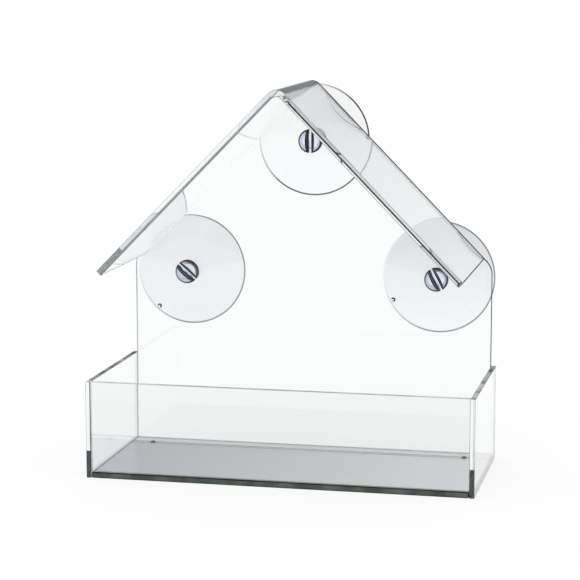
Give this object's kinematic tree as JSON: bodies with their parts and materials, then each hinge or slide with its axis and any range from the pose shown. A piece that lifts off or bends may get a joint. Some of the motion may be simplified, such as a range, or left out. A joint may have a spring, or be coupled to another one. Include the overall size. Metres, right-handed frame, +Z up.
{
  "type": "window bird feeder",
  "caption": "Clear acrylic window bird feeder shaped like a house: an open seed tray and a bent gable roof on a back plate, held to the glass by turning suction cups.",
  "frame": {"origin": "centre of the glued body's footprint, on the underside of the tray base", "axes": "+Z up, -Y towards the open front, +Y towards the window pane, X across the feeder"},
  "size_m": [0.15, 0.0705, 0.15],
  "materials": {
    "clear_acrylic": "gloss",
    "clear_cup_vinyl": "gloss"
  },
  "bodies": {
    "feeder_body": {"back_plate": "clear_acrylic", "roof": "clear_acrylic", "tray_left_side": "clear_acrylic", "tray_right_side": "clear_acrylic", "tray_front": "clear_acrylic", "tray_base": "clear_acrylic"},
    "top_cup": {"top_suction_cup": "clear_cup_vinyl"},
    "left_cup": {"left_suction_cup": "clear_cup_vinyl"},
    "right_cup": {"right_suction_cup": "clear_cup_vinyl"}
  },
  "joints": [
    {"name": "top_cup_turn", "type": "hinge", "parent": "feeder_body", "child": "top_cup", "pos_m": [0, 0.0305, 0.126], "axis": [0, 1, 0], "continuous": true},
    {"name": "left_cup_turn", "type": "hinge", "parent": "feeder_body", "child": "left_cup", "pos_m": [-0.051, 0.0305, 0.072], "axis": [0, 1, 0], "continuous": true},
    {"name": "right_cup_turn", "type": "hinge", "parent": "feeder_body", "child": "right_cup", "pos_m": [0.051, 0.0305, 0.072], "axis": [0, 1, 0], "continuous": true}
  ]
}
